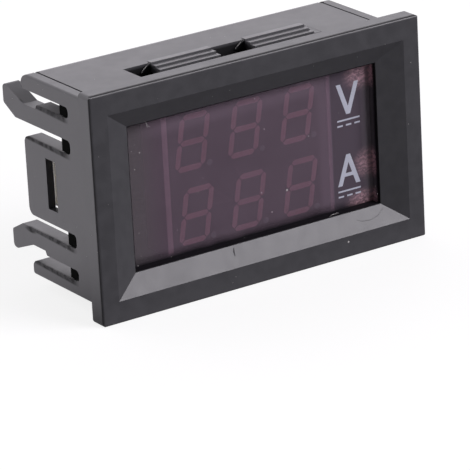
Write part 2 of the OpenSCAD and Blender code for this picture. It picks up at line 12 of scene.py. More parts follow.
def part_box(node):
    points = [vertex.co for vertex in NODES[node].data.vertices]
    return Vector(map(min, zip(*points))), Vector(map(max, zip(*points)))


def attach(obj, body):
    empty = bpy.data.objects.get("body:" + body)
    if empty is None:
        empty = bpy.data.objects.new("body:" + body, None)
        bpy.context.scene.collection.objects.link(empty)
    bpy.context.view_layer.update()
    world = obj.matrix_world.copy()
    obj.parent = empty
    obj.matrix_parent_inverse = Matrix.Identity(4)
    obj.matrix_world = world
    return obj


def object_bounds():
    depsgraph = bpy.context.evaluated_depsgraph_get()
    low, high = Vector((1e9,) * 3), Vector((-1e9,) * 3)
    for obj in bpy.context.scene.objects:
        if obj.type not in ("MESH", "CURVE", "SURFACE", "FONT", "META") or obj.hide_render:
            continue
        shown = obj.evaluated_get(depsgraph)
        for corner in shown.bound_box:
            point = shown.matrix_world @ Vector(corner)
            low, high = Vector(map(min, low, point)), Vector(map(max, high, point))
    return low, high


bl_info = {
    "name": "Panel Meter Looks",
    "version": (1, 0, 0),
    "blender": (4, 5, 0),
    "location": "View3D > Sidebar > Meter",
    "description": "Dresses a packed panel meter with finishes, printed signs, solder, dust and a studio",
    "category": "Object",
}

MM = 0.001
WHITE = (1, 1, 1, 1)
BODY = "meter"

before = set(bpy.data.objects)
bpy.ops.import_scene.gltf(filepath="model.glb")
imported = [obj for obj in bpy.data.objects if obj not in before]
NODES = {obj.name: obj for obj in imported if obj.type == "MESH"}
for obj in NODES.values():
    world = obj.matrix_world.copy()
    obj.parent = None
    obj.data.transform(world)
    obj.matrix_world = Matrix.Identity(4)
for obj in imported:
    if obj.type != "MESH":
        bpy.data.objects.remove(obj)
CAD_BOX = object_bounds()
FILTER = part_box("filter_window")
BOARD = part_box("circuit_board")
BOARD_FRONT = BOARD[0].y
BOARD_BACK = BOARD[1].y


# ---------------------------------------------------------------- shader helpers


def hex_colour(text):
    """The linear colour, with alpha 1, of an sRGB hex value such as '8f8e91'."""
    parts = [int(text[i:i + 2], 16) / 255 for i in (0, 2, 4)]
    return [c / 12.92 if c <= 0.04045 else ((c + 0.055) / 1.055) ** 2.4 for c in parts] + [1.0]


def add_node(tree, kind, *inputs, **settings):
    """Adds a node. Inputs fill its enabled sockets in order; settings are its properties or named sockets.

    An input that is a node stands for that node's first enabled output.
    """
    node = tree.nodes.new("ShaderNode" + kind)
    named = []
    for name, value in settings.items():
        if hasattr(node, name):
            setattr(node, name, value)
        else:
            named.append((node.inputs[name.replace("_", " ")], value))
    enabled = [socket for socket in node.inputs if socket.enabled]
    for socket, value in [*zip(enabled, inputs), *named]:
        if isinstance(value, bpy.types.Node):
            value = next(output for output in value.outputs if output.enabled)
        if isinstance(value, bpy.types.NodeSocket):
            tree.links.new(value, socket)
        else:
            socket.default_value = value
    return node


def new_material(name):
    """A named material, a function that adds nodes to its tree, and Object coordinates in millimetres."""
    material = bpy.data.materials.new(name)
    material.use_nodes = True
    material.node_tree.nodes.clear()
    add = functools.partial(add_node, material.node_tree)
    return material, add, add("Mapping", add("TexCoord").outputs["Object"], Scale=(1 / MM,) * 3)


def product(add, first, *others):
    """The product of any number of values or masks."""
    for value in others:
        first = add("Math", first, value, operation="MULTIPLY")
    return first


def highest(add, first, *others):
    """The highest of any number of values or masks."""
    for value in others:
        first = add("Math", first, value, operation="MAXIMUM")
    return first


def reach_from(add, at, centre, size):
    """How far a point lies from a centre, where 1 is the half size of a spot in each direction."""
    moved = add(
        "Mapping", at, Location=[-c / s for c, s in zip(centre, size)], Scale=[MM / s for s in size]
    )
    return add("VectorMath", moved, operation="LENGTH")


def shaded(colour, factor):
    """A colour made lighter or darker by a factor."""
    return [c * factor for c in colour[:3]] + [1.0]


# ---------------------------------------------------------------- materials
#
# Lengths in the patterns are millimetres, as Object coordinates are scaled to them. A noise of scale 1 / n
# has features about n across.


def abs_plastic(looks):
    """Black-grey ABS, moulded against spark-eroded steel: a soft sheen, a faint mottle, no clear mirror."""
    material, add, at = new_material("moulded_abs")
    mottle = add("TexNoise", at, MM / looks.mottle, 4)
    grain = add("TexNoise", at, MM / looks.grain, 2)
    smears = add("TexNoise", at, 1 / 7, 2)
    tone = add("MapRange", mottle, 0.35, 0.65, 0, 1)
    colour = add("Mix", tone, shaded(looks.plastic, 0.94), shaded(looks.plastic, 1.06), data_type="RGBA")
    roughness = add(
        "Math", add("MapRange", smears, 0.3, 0.7, looks.gloss - 0.02, looks.gloss + 0.02),
        add("MapRange", mottle, 0.3, 0.7, -0.03, 0.03), operation="ADD",
    )
    # Painted shade, with the side's dark lines and blot: the plastic goes darker and loses its sheen.
    dull = highest(add, painted_edge_shade_and_lines(add, at, looks), painted_opening_shade(add, at, looks))
    shader = add(
        "BsdfPrincipled", add("Mix", dull, colour, shaded(looks.plastic, 0.2), data_type="RGBA"),
        Roughness=roughness, IOR=1.53, Specular_IOR_Level=add("MapRange", dull, 0, 1, 0.5, 0.05),
        Normal=add("Bump", Height=grain, Distance=0.01 * MM, Strength=0.35),
    )
    add("OutputMaterial", shader)
    return material


def painted_edge_shade_and_lines(add, at, looks):
    """Painted shade just behind the bezel's outer front edge, dark lines along the arms' tops, one blot."""
    low, high = (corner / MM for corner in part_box("housing"))
    split = add("SeparateXYZ", at).outputs
    y, z = split["Y"], split["Z"]
    beyond, above = (add("Math", split[axis], operation="ABSOLUTE") for axis in "XZ")
    # Painted shade: a dark band just behind the front edge, on the bezel's sides, top and bottom.
    line = 0
    for away, edge, width, depth in ((beyond, high.x, 0.22, 0.5), (above, high.z, 0.45, 0.75)):
        band = product(
            add, add("MapRange", y, low.y + 0.04, low.y + 0.1, 0, depth),
            add("MapRange", y, low.y + width, low.y + width + 0.06, 1, 0),
            add("MapRange", away, edge - 0.12, edge - 0.08, 0, 1),
        )
        line = highest(add, line, band)
    # Thin broken dark lines along the arms' upper edges, and a blot: darker plastic, cause unknown.
    broken = add("MapRange", add("TexNoise", at, 1 / 0.9, 3), 0.4, 0.6, 0.75, 1)
    side = looks.side / MM
    beside = product(
        add, broken, add("MapRange", beyond, side - 0.3, side - 0.1, 0, 1),
        add("MapRange", y, 5, 6, 0, 1), add("MapRange", y, 15.8, 16.6, 1, 0),
    )
    lifted = add("Math", z, add("MapRange", y, 6, 15, 0.3, 0.06), operation="ADD")
    for height in looks.arm_tops:
        off = add("Math", lifted, height / MM, operation="SUBTRACT")
        off = add("Math", off, operation="ABSOLUTE")
        near = add("MapRange", off, 0.2, 0.5, 1, 0, interpolation_type="SMOOTHSTEP")
        line = highest(add, line, product(add, beside, near))
    reach = reach_from(add, at, looks.blot, looks.blot_size)
    blot = add("MapRange", reach, 0.5, 1.1, 1, 0, interpolation_type="SMOOTHSTEP")
    return highest(add, line, product(add, broken, blot))


def painted_opening_shade(add, at, looks):
    """Painted shade on the finger openings' walls, made matt and dark, but for the bright webs in them."""
    split = add("SeparateXYZ", at).outputs
    depth, back = split["Y"], looks.opening[2] / MM
    top, ceiling = looks.top / MM, looks.ceiling / MM
    across, up = (add("Math", split[axis], operation="ABSOLUTE") for axis in "XZ")
    web = product(
        add, add("MapRange", depth, back - 0.26, back - 0.25, 0, 1),
        add("MapRange", depth, back - 0.04, back - 0.03, 1, 0),
    )
    return product(
        add, add("MapRange", up, top - 0.45, top - 0.1, 0.9, 0),
        add("MapRange", up, ceiling + 0.03, ceiling + 0.1, 0, 1),
        add("MapRange", across, 20.3, 20.4, 1, 0), add("Math", 1, web, operation="SUBTRACT"),
        add("MapRange", depth, 0.6, 0.8, 0, 1),
    )


def tinted_acrylic(looks):
    """Tinted acrylic: a polished front, a faint mirror; edges in painted shade, the right one in painted
    light.
    """
    material, add, at = new_material("tinted_acrylic")
    split = add("SeparateXYZ", at).outputs
    depth = split["Y"]
    low, high = FILTER[0] / MM, FILTER[1] / MM
    # The edge faces are opaque and dark: painted shade.
    front = add("MapRange", depth, low.y + 0.01, low.y + 0.02, 1, 0)
    back = add("MapRange", depth, high.y - 0.02, high.y - 0.01, 0, 1)
    side = add("Math", 1, highest(add, front, back), operation="SUBTRACT")
    # Painted light: the right edge face grows paler towards the back, as if it caught the film's haze.
    right = product(
        add, add("MapRange", split["X"], high.x - 0.1, high.x - 0.05, 0, 1),
        add("MapRange", depth, low.y + 0.25, low.y + 0.8, 0, 1, interpolation_type="SMOOTHSTEP"),
    )
    clinging = product(add, adhesion(add, at, looks), 1.6)
    caught = add("Mix", clinging, shaded(looks.edge_light, 0.5), looks.patch, data_type="RGBA")
    ink = add("Mix", right, looks.edge_shade, caught, data_type="RGBA")
    edge = add("BsdfPrincipled", ink, Alpha=side, Roughness=0.5, IOR=1.1)
    outside = add("Math", 1, add("NewGeometry").outputs["Backfacing"], operation="SUBTRACT")
    wiped = add("MapRange", add("TexNoise", at, 1 / 5, 3), 0.3, 0.7, 0.05, 0.16)
    mirror = product(add, add("Fresnel", 1.49), front, outside)
    add("OutputMaterial", add("MixShader", mirror, edge, add("BsdfGlossy", Roughness=wiped)))
    return material


def hazed_film(looks):
    """A violet gel film behind the acrylic: milky, so the readout shows faintly; painted shade at its rim."""
    material, add, at = new_material("hazed_film")
    split = add("SeparateXYZ", at).outputs
    x, z = split["X"], split["Z"]
    low, high = FILTER[0] / MM, FILTER[1] / MM
    shade, thin, zone = looks.shade / MM, looks.thin_shade / MM, looks.sign_zone / MM
    wander = add("MapRange", add("TexNoise", at, 1 / 4, 2), 0.3, 0.7, -0.15, 0.15)
    height = add("Math", z, wander, operation="ADD")
    # Painted shade: the rim darkens and hides more of what is behind, towards the bottom and the top.
    rim = 0
    for start, end in ((low.z + 0.9 * shade, low.z - 0.2), (high.z - thin, high.z)):
        near = add("MapRange", height, start, end, 0, 1, interpolation_type="SMOOTHSTEP")
        rim = highest(add, rim, near)
    # Painted light: behind the unit signs the haze grows paler towards the right edge.
    beside = add("MapRange", x, zone - 0.1, zone + 0.1, 0, 1)
    beyond = add("MapRange", x, high.x - shade, high.x, 0, 1)
    above = add("MapRange", z, high.z - 3.2, high.z - 1.4, 0, 1, interpolation_type="SMOOTHSTEP")
    margin = add("MapRange", x, low.x + 6, low.x + 1, 0, 1, interpolation_type="SMOOTHSTEP")
    patches = adhesion(add, at, looks)
    haze = shaded(looks.haze, 0.95)
    for share, colour in (
        (add("MapRange", add("TexNoise", at, 1 / 6, 2), 0.35, 0.65, 0, 1), shaded(looks.haze, 1.05)),
        (above, shaded(looks.haze, 1.4)),
        (add("MapRange", x, zone - 2.2, zone - 1.5, 0, 1), shaded(looks.haze, 1.25)),
        (margin, looks.margin),
        (beside, add("Mix", beyond, looks.side_haze, looks.edge_light, data_type="RGBA")),
        (rim, looks.edge_shade),
        (patches, looks.patch),
    ):
        haze = add("Mix", share, haze, colour, data_type="RGBA")
    back = high.y - looks.film_gap / MM
    facing = add("MapRange", split["Y"], back - 0.005, back, 1, 0)
    cover = add("MapRange", beside, 0, 1, looks.cover, looks.side_cover)
    cover = product(add, highest(add, cover, rim, patches), facing)
    add("OutputMaterial", add("BsdfPrincipled", haze, Alpha=cover, Roughness=0.6, Specular_IOR_Level=0))
    return material


def adhesion(add, at, looks):
    """Where the window clings to what is behind it: rippled pinkish patches near its right edge."""
    ripple = add(
        "TexWave", at, wave_type="RINGS", Scale=0.55, Distortion=9.0, Detail=3.0, Detail_Scale=2.2
    )
    strength = 0
    for spot in looks.patches:
        centre = (spot.at[0], FILTER[1].y, spot.at[1])
        reach = reach_from(add, at, centre, (spot.size[0], spot.size[0], spot.size[1]))
        near = add("MapRange", reach, 0.25, 1.1, 1, 0, interpolation_type="SMOOTHSTEP")
        strength = highest(add, strength, product(add, near, spot.strength))
    torn = add("TexNoise", at, 1 / 0.5, 4, 0.65)
    return product(
        add, strength, add("MapRange", ripple.outputs["Fac"], 0.2, 0.8, 0.5, 1),
        add("MapRange", torn, 0.35, 0.6, 0.35, 1),
    )


def plain_resin(name, colour, roughness, grain, spread=0.12, bump=0.006, **settings):
    """A moulded or cast resin or ceramic: a mottle in colour and roughness, and a fine grain."""
    material, add, at = new_material(name)
    mottle = add("TexNoise", at, 1 / grain, 4)
    tone = add("MapRange", mottle, 0.3, 0.7, 0, 1)
    shader = add(
        "BsdfPrincipled",
        add("Mix", tone, shaded(colour, 1 - spread), shaded(colour, 1 + spread), data_type="RGBA"),
        Roughness=add("MapRange", mottle, 0.3, 0.7, roughness - 0.06, roughness + 0.06), IOR=1.5,
        Normal=add("Bump", Height=add("TexNoise", at, 4 / grain, 2), Distance=bump * MM, Strength=0.4),
        **settings,
    )
    add("OutputMaterial", shader)
    return material


def plain_metal(name, colour, roughness, grain, stretch=(1, 1, 1)):
    """A plated, drawn or cast metal: fine streaks in roughness along its stretch."""
    material, add, at = new_material(name)
    streaks = add("TexNoise", add("Mapping", at, Scale=stretch), 1 / grain, 4)
    tone = add("MapRange", streaks, 0.3, 0.7, 0, 1)
    shader = add(
        "BsdfPrincipled", add("Mix", tone, shaded(colour, 0.88), colour, data_type="RGBA"), Metallic=1,
        Roughness=add("MapRange", streaks, 0.3, 0.7, roughness - 0.08, roughness + 0.1),
        Normal=add("Bump", Height=streaks, Distance=0.004 * MM, Strength=0.3),
    )
    add("OutputMaterial", shader)
    return material


def masked_board(looks):
    """Black solder mask on glass fibre: satin, with the copper tracks just proud, and matt dark cut edges."""
    material, add, at = new_material("masked_glass_fibre")
    tracks = add(
        "TexBrick", add("Mapping", at, Rotation=(math.radians(90), 0, 0)), Scale=0.42, Mortar_Size=0.06,
        Mortar_Smooth=0.15, Brick_Width=2.1, Row_Height=0.42, offset=0.37, offset_frequency=3,
        squash=0.7, squash_frequency=2,
    )
    routed = add("MapRange", add("TexNoise", at, 1 / 5, 1), 0.46, 0.5, 0, 1)
    copper = product(add, tracks.outputs["Fac"], routed)
    weave = add("TexNoise", at, 1 / 0.35, 2)
    normal = add("Bump", Height=weave, Distance=0.004 * MM, Strength=0.4)
    facing = add("SeparateXYZ", add("NewGeometry").outputs["True Normal"]).outputs["Y"]
    cut = add("MapRange", add("Math", facing, operation="ABSOLUTE"), 0.4, 0.6, 1, 0)
    colour = add("Mix", copper, looks.mask, shaded(looks.mask, 2.2), data_type="RGBA")
    shader = add(
        "BsdfPrincipled", add("Mix", cut, colour, shaded(looks.mask, 0.8), data_type="RGBA"),
        Roughness=highest(add, add("MapRange", weave, 0, 1, 0.34, 0.46), cut), IOR=1.52,
        Specular_IOR_Level=add("MapRange", cut, 0, 1, 0.5, 0.05),
        Normal=add("Bump", Height=copper, Distance=0.035 * MM, Strength=0.8, Normal=normal),
    )
    add("OutputMaterial", shader)
    return material


def clothe(material, *names):
    """Gives CAD nodes their material."""
    for name in names:
        mesh = NODES[name].data
        mesh.materials.clear()
        mesh.materials.append(material)


# ---------------------------------------------------------------- mesh helpers


def new_piece(name, bm, material):
    """Makes an object of a finished bmesh that rides on the meter and takes its finish from a slot."""
    bmesh.ops.recalc_face_normals(bm, faces=bm.faces)
    mesh = bpy.data.meshes.new(name)
    bm.to_mesh(mesh)
    bm.free()
    mesh.materials.append(material)
    piece = bpy.data.objects.new(name, mesh)
    bpy.context.scene.collection.objects.link(piece)
    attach(piece, BODY)
    return piece


def add_box(bm, low, high, bevel=0.0):
    """Adds a box between two corners, with its edges bevelled where a bevel is given."""
    low, high = Vector(low), Vector(high)
    size = Matrix.Diagonal((*(high - low), 1))
    made = bmesh.ops.create_cube(bm, size=1, matrix=Matrix.Translation((low + high) / 2) @ size)
    if bevel:
        edges = dict.fromkeys(e for v in made["verts"] for e in v.link_edges)
        bmesh.ops.bevel(
            bm, geom=list(edges), offset=bevel, affect="EDGES", segments=2, profile=0.5, material=-1
        )


def add_plate(bm, outline, way):
    """Adds a plate from a flat outline of points to the same outline moved by way."""
    face = bm.faces.new([bm.verts.new(point) for point in outline])
    made = bmesh.ops.extrude_face_region(bm, geom=[face])
    moved = [v for v in made["geom"] if isinstance(v, bmesh.types.BMVert)]
    bmesh.ops.translate(bm, verts=moved, vec=way)


def solids(name):
    """The lowest and highest corners of each separate solid of a CAD node."""
    bm = bmesh.new()
    bm.from_mesh(NODES[name].data)
    bmesh.ops.remove_doubles(bm, verts=bm.verts, dist=1e-7)
    left, found = set(bm.verts), []
    while left:
        reached, todo = set(), [left.pop()]
        while todo:
            vert = todo.pop()
            reached.add(vert)
            near = [e.other_vert(vert) for e in vert.link_edges]
            todo += [v for v in near if v in left]
            left.difference_update(near)
        corners = [[f(v.co[i] for v in reached) for i in range(3)] for f in (min, max)]
        found.append((Vector(corners[0]), Vector(corners[1])))
    bm.free()
    return sorted(found, key=lambda pair: tuple(pair[0]))


def add_turned(bm, centre, profile):
    """Adds a closed solid turned about an axis along Y, from (radius, distance back) points."""
    verts = [bm.verts.new(centre + Vector((r, d, 0))) for r, d in profile]
    edges = [bm.edges.new(pair) for pair in zip(verts, verts[1:])]
    bmesh.ops.spin(
        bm, geom=verts + edges, cent=centre, axis=(0, 1, 0), angle=math.tau, steps=20, use_merge=True
    )
    bmesh.ops.remove_doubles(bm, verts=bm.verts, dist=1e-7)


# ---------------------------------------------------------------- settings


def colour_setting(name, description, text):
    """A colour property whose default is an sRGB hex value."""
    return bpy.props.FloatVectorProperty(
        name=name, description=description, subtype="COLOR", size=4, min=0, max=1, default=hex_colour(text)
    )


def length_setting(name, description, millimetres):
    """A length property whose default is given in millimetres."""
    return bpy.props.FloatProperty(
        name=name, description=description, subtype="DISTANCE", unit="LENGTH", default=millimetres * MM,
        precision=6,
    )


def number_setting(name, description, default, **more):
    """A property that is a plain number, such as a share or a brightness."""
    return bpy.props.FloatProperty(name=name, description=description, default=default, min=0, **more)


def place_setting(name, description, millimetres):
    """A place or size in two or three directions, or a set of heights, whose default is in millimetres."""
    return bpy.props.FloatVectorProperty(
        name=name, description=description, size=len(millimetres), unit="LENGTH",
        default=[c * MM for c in millimetres], precision=6,
    )


class HousingLooks(bpy.types.PropertyGroup):
    plastic: colour_setting("Plastic", "Colour of the moulded housing", "4b4b4e")
    gloss: number_setting("Roughness", "Roughness of the moulded skin", 0.37, max=1)
    mottle: length_setting("Mottle", "Size of the faint mottle in the plastic", 1.4)
    grain: length_setting("Grain", "Size of the moulded grain, coarse enough to show", 0.16)
    side: length_setting("Side", "Where the body's outer side face lies", 22.57)
    top: length_setting("Top", "Where the body's outer top face lies", 13.04)
    ceiling: length_setting("Ceiling", "Where the inner face of its top wall lies", 11.1)
    blot: place_setting("Blot", "Place of the dark blot on the lower arm", (-22.57, 15.8, -7.25))
    blot_size: place_setting("Blot size", "Half sizes of the blot", (0.6, 1.5, 0.45))
    opening: place_setting("Opening", "Right end, front and back of the finger openings", (13.84, 4.05, 7.97))
    flash_w: length_setting("Flash width", "Width of the web of flash where a finger's tip ends", 0.95)
    flash_tip: length_setting("Flash tip", "Width of the web of flash at the finger's root", 0.03)
    flash_t: length_setting("Flash", "Thickness of the web of flash", 0.19)
    flash_inset: length_setting("Flash inset", "How far the flash lies under the face beside it", 0.01)
    # Thin broken dark lines are drawn along these edges; their cause is not known.
    arm_tops: place_setting(
        "Arm tops", "Heights of the side's upward edges, which hold dirt", (9.67, 5.1, -6.87, -11.1)
    )


class AdhesionPatch(bpy.types.PropertyGroup):
    at: place_setting("Place", "Centre of the patch, across and up", (0, 0))
    size: place_setting("Size", "Half width and half height", (1, 1))
    strength: number_setting("Strength", "How clearly it shows", 1)


class WindowLooks(bpy.types.PropertyGroup):
    haze: colour_setting("Haze", "Colour of the film's haze", "897887")
    margin: colour_setting("Margin", "Colour of the haze left of the readout", "8d858b")
    side_haze: colour_setting("Side haze", "Colour of the haze behind the unit signs", "5f5660")
    patch: colour_setting("Patch", "Colour where the film clings to the acrylic", "cba4ae")
    # Painted shade: the dark colour of the acrylic's edge faces and of the film's shaded rim.
    edge_shade: colour_setting("Edge", "Colour of the window's dark edge", "211f23")
    # Painted light: the paler colour on the acrylic's right edge face and on the film near its right edge.
    edge_light: colour_setting("Edge haze", "Colour that its right edge catches", "8a838a")
    shade: length_setting("Shade", "Width of the rim, shaded at the bottom and paler at the right", 1.5)
    thin_shade: length_setting("Thin shade", "Width of the shaded rim at the top", 0.4)
    film_t: length_setting("Film", "Thickness of the film", 0.03)
    film_gap: length_setting("Film place", "How far the film's back lies inside the acrylic's back", 0.02)
    sign_zone: length_setting("Sign zone", "Where the zone of the unit signs starts", 12.2)
    cover: number_setting("Cover", "How much the haze hides", 0.45, max=1)
    side_cover: number_setting("Side cover", "How much it hides behind the unit signs", 0.92, max=1)
    patches: bpy.props.CollectionProperty(type=AdhesionPatch, name="Patches", description="Where it clings")


class SignLooks(bpy.types.PropertyGroup):
    ink: colour_setting("Ink", "Colour of the printed unit signs", "c8cbd9")
    width: length_setting("Width", "Width of a letter", 3.4)
    height: length_setting("Height", "Height of a letter", 4.0)
    stroke: length_setting("Stroke", "Level width of a letter's leg", 0.66)
    tip: length_setting("Tip", "Width of a letter's point", 0.6)
    bar: length_setting("Bar", "Thickness of the line under a letter", 0.21)
    dash: length_setting("Dash", "Length of a dash under the line", 0.82)
    line_drop: length_setting("Line drop", "From a letter's foot down to the line", 0.7)
    dash_drop: length_setting("Dash drop", "From the line down to the dashes", 0.68)
    volt_at: place_setting("Volt sign", "Middle of the V's foot, across and up", (14.84, 3.0))
    amp_at: place_setting("Amp sign", "Middle of the A's foot, across and up", (14.57, -6.2))
    print_t: length_setting("Print", "Thickness of the print", 0.012)


class DisplayLooks(bpy.types.PropertyGroup):
    case: colour_setting("Case", "Colour of the readout's moulded block", "866575")
    face: colour_setting("Face", "Colour of its printed face", "2e2428")
    point_t: length_setting("Drop", "Thickness of the resin over a decimal point", 0.01)
    point: colour_setting("Point", "Colour of the clear resin of its decimal points", "545257")
    segment: colour_setting("Segment", "Colour of its unlit segments", "9c6a79")


class BoardLooks(bpy.types.PropertyGroup):
    mask: colour_setting("Mask", "Colour of the solder mask", "161817")
    nylon: colour_setting("Nylon", "Colour of the headers", "efece2")
    screen: colour_setting("Screen print", "Colour of the outlines printed on the board", "d9d9d4")
    line_w: length_setting("Outline", "Width of an outline printed round a part", 0.13)
    line_gap: length_setting("Outline gap", "Gap between a part and its outline", 0.22)
    line_t: length_setting("Outline print", "Thickness of the print", 0.01)
    cap_length: length_setting("Cap length", "Length of a small chip's plated end", 0.3)
    cap_skin: length_setting("Cap skin", "Thickness of the plating", 0.012)
    cap_bevel: length_setting("Cap bevel", "Rounding of a plated end", 0.03)
    joint_reach: length_setting("Joint reach", "How far a joint's solder spreads from its pin", 0.42)
    joint_height: length_setting("Joint height", "How far solder climbs up a pin", 0.62)
    bead: length_setting("Bead", "Thickness of the solder at a lead's toe", 0.1)


class WearLooks(bpy.types.PropertyGroup):
    specks: bpy.props.IntProperty(
        name="Specks", description="How many fine specks of dust lie on the front", default=34, min=0
    )
    side_specks: bpy.props.IntProperty(
        name="Side specks", description="How many specks fall on the left side", default=24, min=0
    )
    top_specks: bpy.props.IntProperty(
        name="Top specks", description="How many specks fall on the top", default=8, min=0
    )
    hair: colour_setting("Hair", "Colour of the hairs on the bezel", "4a474b")
    dust: colour_setting("Dust", "Colour of the dust", "c9c7c4")


class StudioLooks(bpy.types.PropertyGroup):
    azimuth: bpy.props.FloatProperty(
        name="Azimuth", description="Turn of the camera to the meter's left", subtype="ANGLE",
        unit="ROTATION", default=math.radians(-33.05),
    )
    elevation: bpy.props.FloatProperty(
        name="Elevation", description="Height of the camera over the meter", subtype="ANGLE",
        unit="ROTATION", default=math.radians(20.07),
    )
    roll: bpy.props.FloatProperty(
        name="Roll", description="Lean of the camera", subtype="ANGLE", unit="ROTATION",
        default=math.radians(-3.09),
    )
    distance: length_setting("Distance", "Distance of the camera", 469.4)
    aside: length_setting("Aside", "Sideways place of the camera", -2.11)
    above: length_setting("Above", "Upright place of the camera", -8.62)
    lens: number_setting("Lens", "Focal length on a 36 mm sensor, in millimetres", 295.3)
    floor: colour_setting("Floor", "Colour of the floor", "8c8c8c")
    tint: bpy.props.FloatVectorProperty(
        name="Tint", description="Colour of all the light that falls on the meter", subtype="COLOR", size=4,
        default=(1.0, 0.965, 1.02, 1.0)
    )
    floor_reach: length_setting("Floor reach", "Half the width of the floor", 6000)
    floor_glow: number_setting("Floor glow", "Share of white that the floor shows where no light falls", 0.82)
    key: number_setting("Key", "Brightness of the large soft light in front and above", 5.8)
    ambient: number_setting("Ambient", "Brightness of the light from all round", 0.1)
    backdrop: number_setting("Backdrop", "Brightness of the light from the white wall behind", 1.2)


SETTINGS = {
    "meter_housing": HousingLooks,
    "meter_window": WindowLooks,
    "meter_signs": SignLooks,
    "meter_display": DisplayLooks,
    "meter_board": BoardLooks,
    "meter_wear": WearLooks,
    "meter_studio": StudioLooks,
}


# ---------------------------------------------------------------- operators


class METER_OT_housing(bpy.types.Operator):
    """Finish the moulded housing, with the thin flash beside the right fingers' tips"""

    bl_idname = "meter.housing"
    bl_label = "Housing"

    def execute(self, context):
        looks = context.scene.meter_housing
        plastic = abs_plastic(looks)
        clothe(plastic, "housing")
        bm = bmesh.new()
        right, front, back = looks.opening
        outline = [
            (right - looks.flash_w, front), (right, front), (right, back), (right - looks.flash_tip, back)
        ]
        inset = looks.flash_inset
        for low in (looks.top - looks.flash_t - inset, inset - looks.top):
            add_plate(bm, [(x, y, low) for x, y in outline], (0, 0, looks.flash_t))
        new_piece("finger_flash", bm, plastic)
        return {"FINISHED"}


class METER_OT_window(bpy.types.Operator):
    """Finish the tinted window and the hazed film behind it, with the patches where they cling"""

    bl_idname = "meter.window"
    bl_label = "Window"

    def execute(self, context):
        looks = context.scene.meter_window
        looks.patches.clear()
        for at, size, strength in (
            ((17.2, 7.8), (3.2, 2.3), 1.0),
            ((17.7, -3.9), (2.5, 2.3), 1.0),
            ((17.0, -8.5), (3.2, 1.5), 0.9),
        ):
            patch = looks.patches.add()
            patch.at = [c * MM for c in at]
            patch.size = [c * MM for c in size]
            patch.strength = strength
        clothe(tinted_acrylic(looks), "filter_window")
        bm = bmesh.new()
        low, high = FILTER
        add_box(bm, (low.x, film_front(), low.z), (high.x, film_front() + looks.film_t, high.z))
        new_piece("window_film", bm, hazed_film(looks))
        return {"FINISHED"}


def film_front():
    """The y of the film's front, which carries the print."""
    looks = bpy.context.scene.meter_window
    return FILTER[1].y - looks.film_gap - looks.film_t


def chevron(looks):
    """The outline of a V standing on its tip, from its own centre line and foot."""
    half, tip = looks.width / 2, looks.tip / 2
    lean = (half - tip) / looks.height
    crotch = looks.height - (half - looks.stroke) / lean
    return [
        (-half, looks.height), (-tip, 0), (tip, 0), (half, looks.height), (half - looks.stroke, looks.height),
        (0, crotch), (looks.stroke - half, looks.height),
    ]


class METER_OT_signs(bpy.types.Operator):
    """Print the V and A signs, each over the mark for direct current"""

    bl_idname = "meter.signs"
    bl_label = "Unit signs"

    def execute(self, context):
        looks = context.scene.meter_signs
        # Screen-printed ink: flat, even and almost matt.
        ink = plain_resin("screen_ink", looks.ink, 0.45, 0.5, spread=0.03, bump=0.001)
        for name, at, flipped in (("volt_sign", looks.volt_at, False), ("amp_sign", looks.amp_at, True)):
            bm = bmesh.new()
            self.letter(bm, looks, Vector(at), flipped)
            self.current_mark(bm, looks, Vector(at))
            new_piece(name, bm, ink)
        return {"FINISHED"}

    def letter(self, bm, looks, at, flipped):
        """A V, or an A that is the same outline upside down with a bar across."""
        y = film_front() - looks.print_t
        outline = chevron(looks)
        if flipped:
            outline = [(x, looks.height - z) for x, z in outline]
            lean = (looks.width - looks.tip) / 2 / looks.height
            low, high = 0.28 * looks.height, 0.28 * looks.height + 0.7 * looks.stroke
            wide, narrow = (looks.width / 2 - looks.stroke - lean * z for z in (low, high))
            bar = [(-wide, low), (wide, low), (narrow, high), (-narrow, high)]
            add_plate(bm, [(at.x + x, y, at.y + z) for x, z in bar], (0, looks.print_t, 0))
        add_plate(bm, [(at.x + x, y, at.y + z) for x, z in outline], (0, looks.print_t, 0))

    def current_mark(self, bm, looks, at):
        """A line over three dashes, under the letter."""
        front, back = film_front() - looks.print_t, film_front()
        half = looks.width / 2
        line = at.y - looks.line_drop
        dashes = line - looks.dash_drop
        add_box(bm, (at.x - half, front, line - looks.bar / 2), (at.x + half, back, line + looks.bar / 2))
        step = (looks.width - looks.dash) / 2
        for i in range(3):
            x = at.x - half + i * step
            add_box(bm, (x, front, dashes - looks.bar / 2), (x + looks.dash, back, dashes + looks.bar / 2))


class METER_OT_display(bpy.types.Operator):
    """Finish the readout's block, its printed face and its segments"""

    bl_idname = "meter.display"
    bl_label = "Readout"

    def execute(self, context):
        looks = context.scene.meter_display
        # Polycarbonate: satin and even. The printed face is matt ink, so that it reads as the darkest layer.
        clothe(plain_resin("polycarbonate_block", looks.case, 0.42, 0.9), "display_case")
        clothe(plain_resin("printed_face", looks.face, 0.55, 0.6), "display_face")
        # Epoxy cast with a diffuser: light sinks in a little, so that unlit segments look soft.
        clothe(
            plain_resin("diffusing_epoxy", looks.segment, 0.35, 0.4, spread=0.08, Subsurface_Weight=0.15,
                        Subsurface_Scale=0.3 * MM),
            "display_segments",
        )
        self.points(looks)
        return {"FINISHED"}

    def points(self, looks):
        """A thin drop of clear resin over each decimal point."""
        bm = bmesh.new()
        for low, high in solids("display_segments"):
            if abs((high.x - low.x) - (high.z - low.z)) < 0.05 * MM:
                centre, r, t = (low + high) / 2, (high.x - low.x) / 2, looks.point_t
                add_turned(bm, Vector((centre.x, low.y, centre.z)), [(0, 0), (r, 0), (r, -t), (0, -t)])
        new_piece("decimal_points", bm, plain_resin("clear_epoxy", looks.point, 0.3, 0.5))


